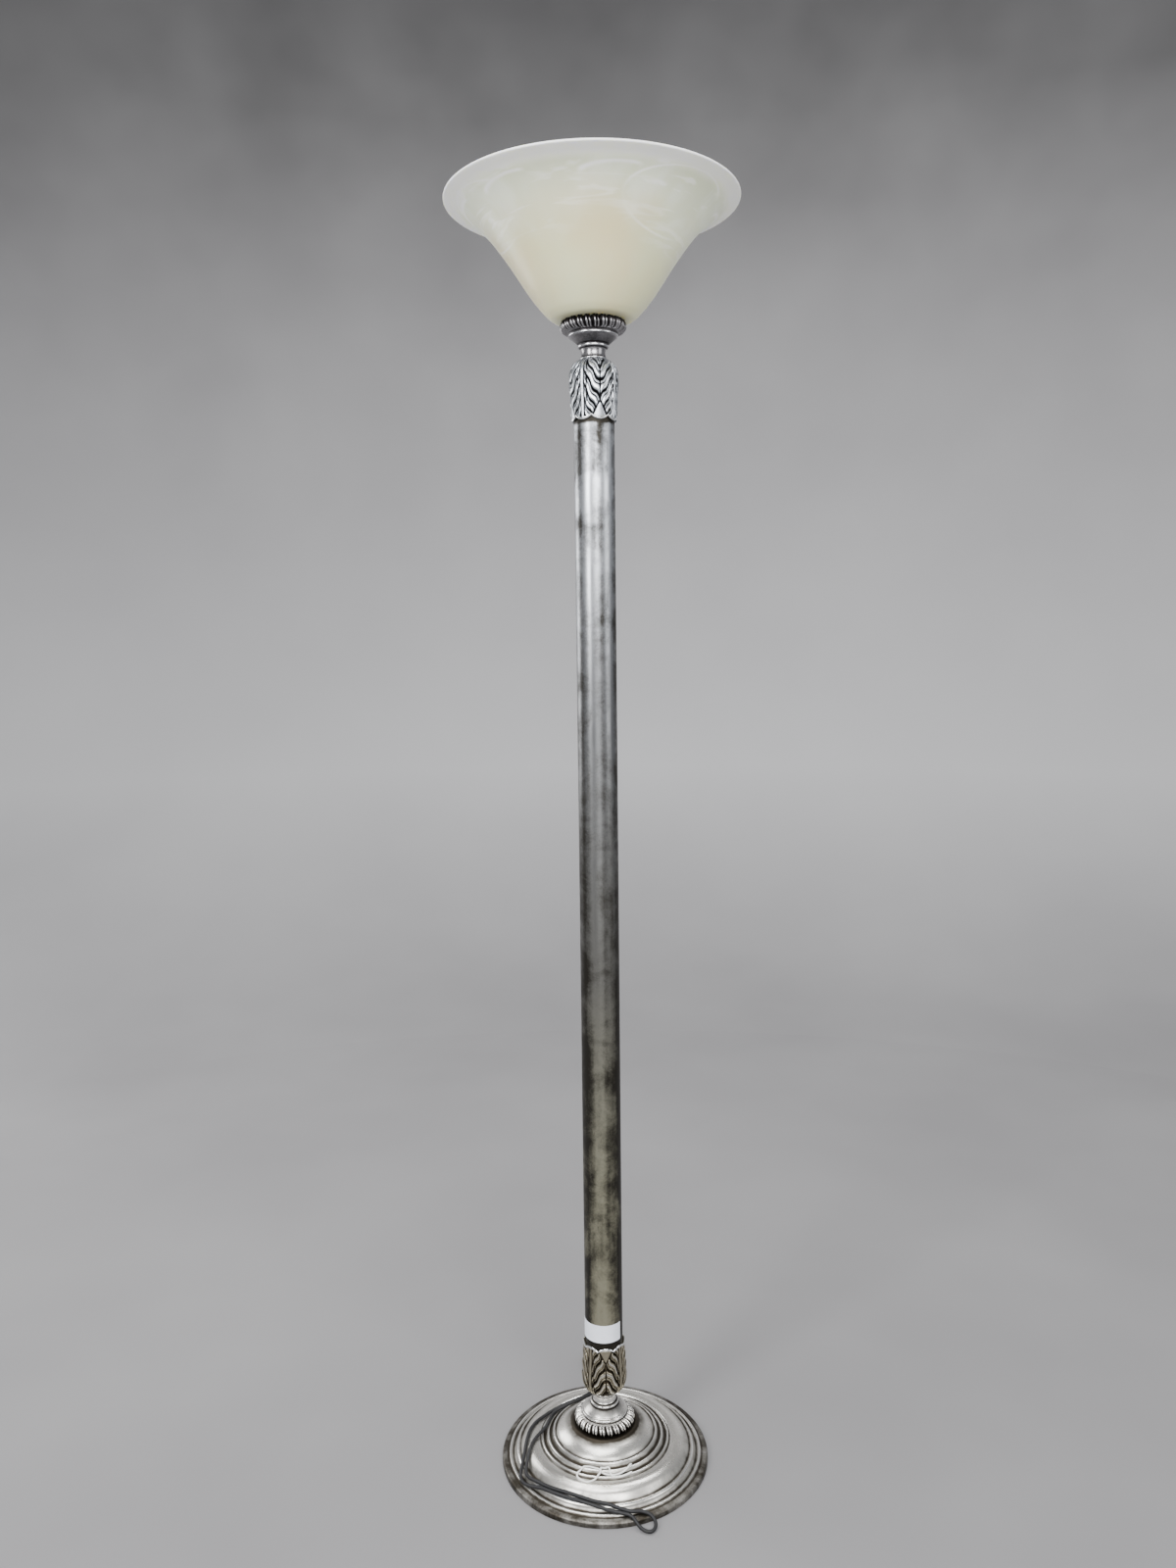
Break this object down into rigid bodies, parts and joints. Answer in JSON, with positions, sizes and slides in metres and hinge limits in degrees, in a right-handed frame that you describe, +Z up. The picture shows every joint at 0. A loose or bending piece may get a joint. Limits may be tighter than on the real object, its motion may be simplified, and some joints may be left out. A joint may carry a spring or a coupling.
{
  "type": "torchiere floor lamp",
  "caption": "Tall torchiere floor lamp with an alabaster glass bowl on an antique silver pole with leaf castings, standing on a wide stepped round base, its cord draped over the base.",
  "frame": {"origin": "Middle of the underside of the base, on the floor, on the lamp's axis.", "axes": "+Z is up along the pole to the glass bowl, -Y is the front that the cord's doubled run and the string lie on, +X is to the right seen from the front."},
  "size_m": [0.401, 0.5048, 1.83],
  "materials": {
    "base_finish": "antique silver finish, darker in the grooves",
    "cast_iron": "rough casting",
    "dark_rubber": "matt moulded rubber",
    "steel": "zinc plated",
    "silver_casting": "antique silver casting, dark in the recesses",
    "silver_tube": "mottled antique silver",
    "paper": "matt white paper, blank",
    "alabaster_glass": "frosted cream alabaster glass",
    "brass": "satin",
    "moulding": "dark thermoset moulding",
    "card": "insulating card",
    "knob": "black, ribbed",
    "bulb": "opal white",
    "bulb_metal": "rolled thread",
    "cord": "matt black flexible sheath",
    "cotton": "twisted white cotton"
  },
  "bodies": {
    "lamp": {"base_shell": "base_finish", "base_weight": "cast_iron", "base_pad": "dark_rubber", "base_washer": "steel", "base_nut": "steel", "threaded_rod": "steel", "inner_cord": "cord", "lower_spool": "silver_casting", "lower_capital": "silver_casting", "lower_pole_bush": "steel", "pole": "silver_tube", "upper_pole_bush": "steel", "upper_capital": "silver_casting", "upper_spool": "silver_casting", "shade_gasket": "dark_rubber", "glass_shade": "alabaster_glass", "shade_plate": "steel", "plate_nut": "steel", "socket_cap": "brass", "socket_shell": "brass", "socket_liner": "card", "socket_body": "moulding", "screw_shell": "brass", "centre_contact": "brass", "terminal_screw_live": "brass", "terminal_screw_neutral": "brass", "wire_live": "dark_rubber", "wire_neutral": "dark_rubber", "bulb_glass": "bulb", "bulb_cap": "bulb_metal", "bulb_contact": "brass", "cord_strain_relief": "dark_rubber", "cord_lead": "cord", "power_cord": "cord", "cord_hank": "cord", "hank_tie": "dark_rubber", "plug_body": "dark_rubber", "plug_boot": "dark_rubber", "plug_blade_left": "brass", "plug_blade_right": "brass", "price_label": "paper", "tie_string": "cotton"},
    "switch": {"switch_spindle": "brass", "switch_knob": "knob"}
  },
  "joints": [
    {"name": "switch_turn", "type": "hinge", "parent": "lamp", "child": "switch", "pos_m": [0, 0, 1.716], "axis": [1, 0, 0], "continuous": true}
  ]
}
